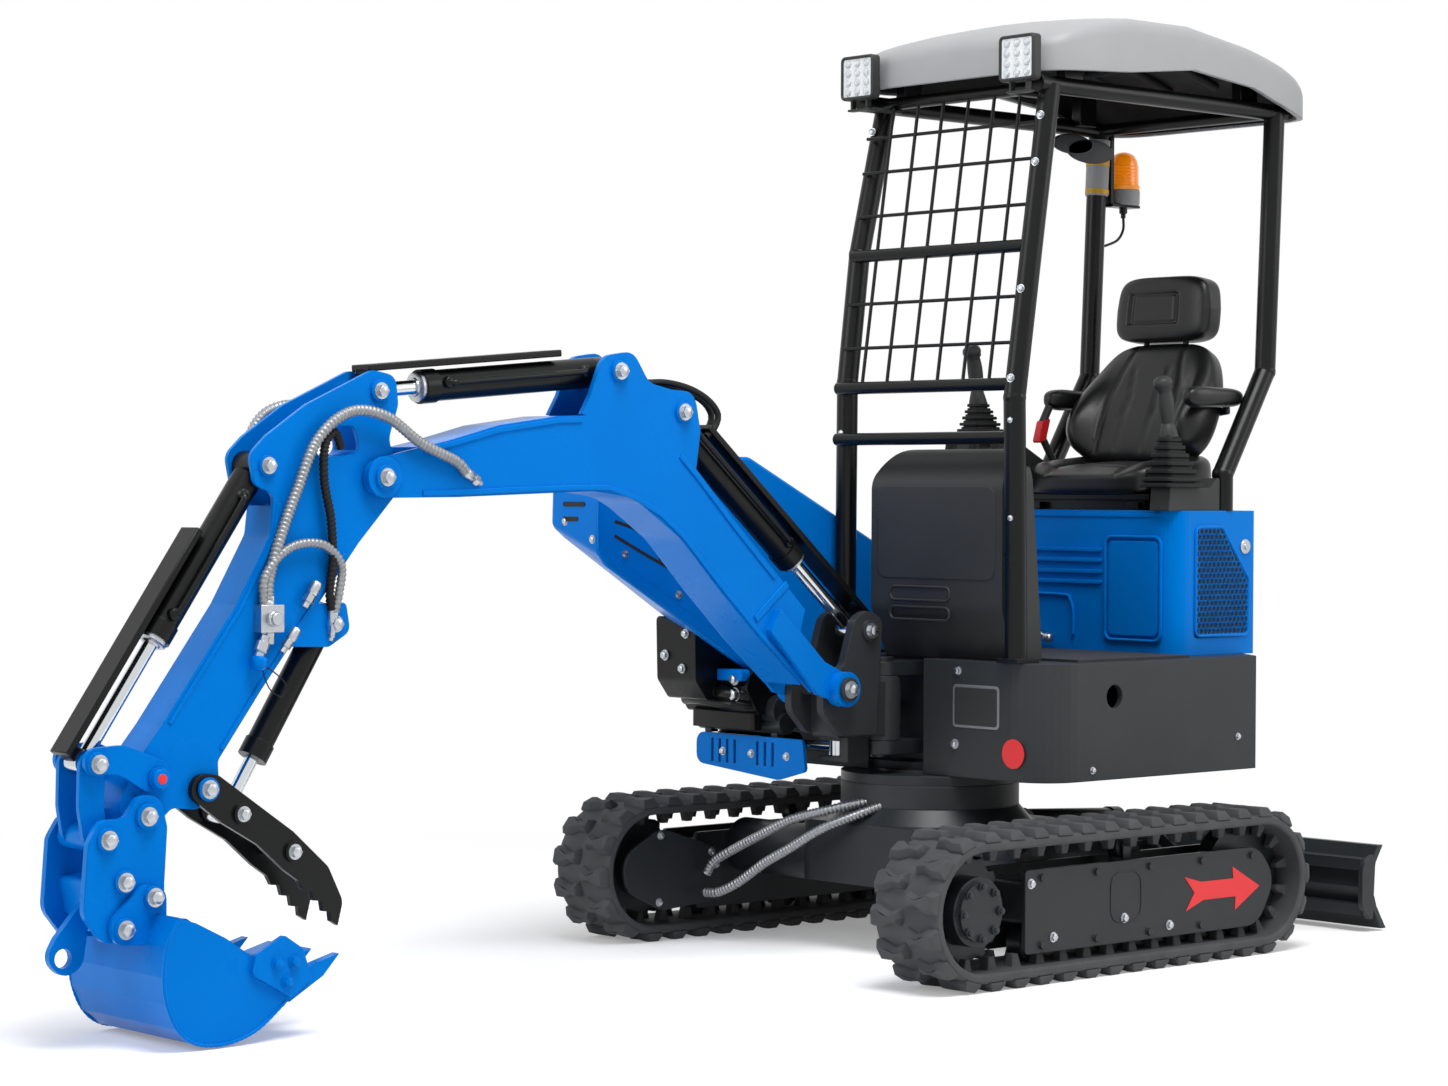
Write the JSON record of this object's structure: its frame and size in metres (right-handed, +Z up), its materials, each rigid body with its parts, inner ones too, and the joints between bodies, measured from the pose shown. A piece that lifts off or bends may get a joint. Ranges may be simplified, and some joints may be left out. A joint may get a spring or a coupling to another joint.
{
  "type": "mini excavator",
  "caption": "Small tracked excavator with an open canopy, swing boom, arm, linked quick coupler with bucket and thumb, rear dozer blade and jointed cylinders.",
  "frame": {"origin": "on the ground, on the slew axis", "axes": "+X forward along the boom, +Y to the operator left, +Z up"},
  "size_m": [3.2548, 1.2, 2.089],
  "materials": {
    "rubber_track": "matt rubber",
    "black_paint": "gloss black",
    "grey_cast": "satin dark grey paint",
    "grey_steel": "satin grey",
    "blue_paint": "gloss blue",
    "chrome_rod": "polished",
    "black_plastic": "satin black",
    "black_vinyl": "black vinyl",
    "floor_rubber": "ribbed rubber",
    "roof_plastic": "satin light grey",
    "amber_plastic": "amber lens"
  },
  "bodies": {
    "undercarriage": {"track_left": "rubber_track", "track_right": "rubber_track", "track_frame_left": "black_paint", "track_frame_right": "black_paint", "drive_left": "black_paint", "drive_right": "black_paint", "idler_left": "black_paint", "idler_right": "black_paint", "rollers_left": "black_paint", "rollers_right": "black_paint", "center_frame": "black_paint", "slew_ring": "grey_steel"},
    "blade": {"blade": "blue_paint"},
    "blade_barrel": {"blade_barrel": "black_paint"},
    "blade_rod": {"blade_rod": "chrome_rod"},
    "house": {"main_frame": "black_paint", "lower_shell": "grey_cast", "floor_mat": "floor_rubber", "engine_block": "grey_steel", "engine_hood": "blue_paint", "hood_grille": "black_paint", "right_cover": "blue_paint", "front_frame": "black_paint", "front_guard": "blue_paint", "knee_panel": "black_plastic", "travel_levers": "black_plastic", "seat_base": "black_paint", "seat_cushion": "black_vinyl", "seat_back": "black_vinyl", "headrest": "black_vinyl", "armrests": "black_plastic", "consoles": "black_plastic", "levers": "black_plastic", "canopy_frame": "black_paint", "wire_guard": "black_paint", "roof": "roof_plastic", "work_lamps": "black_plastic", "beacon": "amber_plastic"},
    "swing_post": {"swing_post": "grey_cast"},
    "swing_barrel": {"swing_barrel": "black_paint"},
    "swing_rod": {"swing_rod": "chrome_rod"},
    "boom": {"boom": "blue_paint"},
    "boom_barrel": {"boom_barrel": "black_paint"},
    "boom_rod": {"boom_rod": "chrome_rod"},
    "arm": {"arm": "blue_paint"},
    "arm_barrel": {"arm_barrel": "black_paint"},
    "arm_rod": {"arm_rod": "chrome_rod"},
    "bucket_barrel": {"bucket_barrel": "black_paint"},
    "bucket_rod": {"bucket_rod": "chrome_rod"},
    "side_links": {"side_links": "blue_paint"},
    "h_link": {"h_link": "blue_paint"},
    "bucket": {"coupler": "blue_paint", "bucket": "blue_paint"},
    "thumb": {"thumb": "black_paint"},
    "thumb_barrel": {"thumb_barrel": "black_paint"},
    "thumb_rod": {"thumb_rod": "chrome_rod"}
  },
  "joints": [
    {"name": "house_slew", "type": "hinge", "parent": "undercarriage", "child": "house", "pos_m": [0, 0, 0.372], "axis": [0, 0, 1], "continuous": true},
    {"name": "boom_swing", "type": "hinge", "parent": "house", "child": "swing_post", "pos_m": [0.16, 0, 0.54], "axis": [0, 0, 1], "range_deg": [-10, 60]},
    {"name": "swing_barrel_turn", "type": "hinge", "parent": "house", "child": "swing_barrel", "pos_m": [0.255, -0.395, 0.452], "axis": [0, 0, 1], "range_deg": [-0.86, 0.56]},
    {"name": "swing_rod_slide", "type": "slide", "parent": "swing_barrel", "child": "swing_rod", "axis": [-0.0253, 0.9997, 0], "range_m": [-0.01683, 0.09598]},
    {"name": "boom_lift", "type": "hinge", "parent": "swing_post", "child": "boom", "pos_m": [0.35, 0, 0.59], "axis": [0, -1, 0], "range_deg": [-40, 45]},
    {"name": "boom_barrel_turn", "type": "hinge", "parent": "boom", "child": "boom_barrel", "pos_m": [0.797, 0, 1.18], "axis": [0, -1, 0], "range_deg": [-1.17, 1.25]},
    {"name": "boom_rod_slide", "type": "slide", "parent": "boom_barrel", "child": "boom_rod", "axis": [-0.76, 0, -0.6499], "range_m": [-0.11275, 0.10033]},
    {"name": "arm_crowd", "type": "hinge", "parent": "boom", "child": "arm", "pos_m": [1.565, 0, 1.04], "axis": [0, 1, 0], "range_deg": [-25, 80]},
    {"name": "arm_barrel_turn", "type": "hinge", "parent": "boom", "child": "arm_barrel", "pos_m": [0.971, 0, 1.26], "axis": [0, -1, 0], "range_deg": [-6.47, 2.37]},
    {"name": "arm_rod_slide", "type": "slide", "parent": "arm_barrel", "child": "arm_rod", "axis": [0.9959, 0, -0.0908], "range_m": [-0.0625, 0.19781]},
    {"name": "bucket_curl", "type": "hinge", "parent": "arm", "child": "bucket", "pos_m": [2.104, 0, 0.422], "axis": [0, 1, 0], "range_deg": [-80, 8]},
    {"name": "side_link_turn", "type": "hinge", "parent": "arm", "child": "side_links", "pos_m": [2.068, 0, 0.487], "axis": [0, -1, 0], "range_deg": [-6.79, 63.41]},
    {"name": "h_link_turn", "type": "hinge", "parent": "side_links", "child": "h_link", "pos_m": [2.195, 0, 0.52], "axis": [0, -1, 0], "range_deg": [-31.75, 3.62]},
    {"name": "bucket_barrel_turn", "type": "hinge", "parent": "arm", "child": "bucket_barrel", "pos_m": [1.822, 0, 1.06], "axis": [0, -1, 0], "range_deg": [-1.97, 0.65]},
    {"name": "bucket_rod_slide", "type": "slide", "parent": "bucket_barrel", "child": "bucket_rod", "axis": [0.5683, 0, -0.8228], "range_m": [-0.13693, 0.01459]},
    {"name": "thumb_open", "type": "hinge", "parent": "arm", "child": "thumb", "pos_m": [1.962, 0, 0.462], "axis": [0, 1, 0], "range_deg": [-6, 36]},
    {"name": "thumb_barrel_turn", "type": "hinge", "parent": "arm", "child": "thumb_barrel", "pos_m": [1.668, 0, 0.76], "axis": [0, -1, 0], "range_deg": [-0.84, 2.57]},
    {"name": "thumb_rod_slide", "type": "slide", "parent": "thumb_barrel", "child": "thumb_rod", "axis": [0.5309, 0, -0.8475], "range_m": [-0.05538, 0.01006]},
    {"name": "blade_lift", "type": "hinge", "parent": "undercarriage", "child": "blade", "pos_m": [-0.36, 0, 0.175], "axis": [0, 1, 0], "range_deg": [-8, 16]},
    {"name": "blade_barrel_turn", "type": "hinge", "parent": "undercarriage", "child": "blade_barrel", "pos_m": [-0.266, 0, 0.262], "axis": [0, -1, 0], "range_deg": [-13.68, 7.09]},
    {"name": "blade_rod_slide", "type": "slide", "parent": "blade_barrel", "child": "blade_rod", "axis": [-0.9987, 0, -0.0505], "range_m": [-0.02539, 0.0132]}
  ],
  "couplings": [
    {"joint": "swing_barrel_turn", "follows": "boom_swing", "ratio": -0.006056},
    {"joint": "swing_rod_slide", "follows": "boom_swing", "m_per_rad": 0.090702},
    {"joint": "boom_barrel_turn", "follows": "boom_lift", "ratio": 0.016671},
    {"joint": "boom_rod_slide", "follows": "boom_lift", "m_per_rad": -0.14228},
    {"joint": "arm_barrel_turn", "follows": "arm_crowd", "ratio": -0.074627},
    {"joint": "arm_rod_slide", "follows": "arm_crowd", "m_per_rad": 0.14095},
    {"joint": "side_link_turn", "follows": "bucket_curl", "ratio": -0.7864},
    {"joint": "h_link_turn", "follows": "bucket_curl", "ratio": 0.39062},
    {"joint": "bucket_barrel_turn", "follows": "bucket_curl", "ratio": 0.018361},
    {"joint": "bucket_rod_slide", "follows": "bucket_curl", "m_per_rad": 0.097356},
    {"joint": "thumb_barrel_turn", "follows": "thumb_open", "ratio": 0.057531},
    {"joint": "thumb_rod_slide", "follows": "thumb_open", "m_per_rad": -0.086552},
    {"joint": "blade_barrel_turn", "follows": "blade_lift", "ratio": -0.82384},
    {"joint": "blade_rod_slide", "follows": "blade_lift", "m_per_rad": -0.087355}
  ]
}
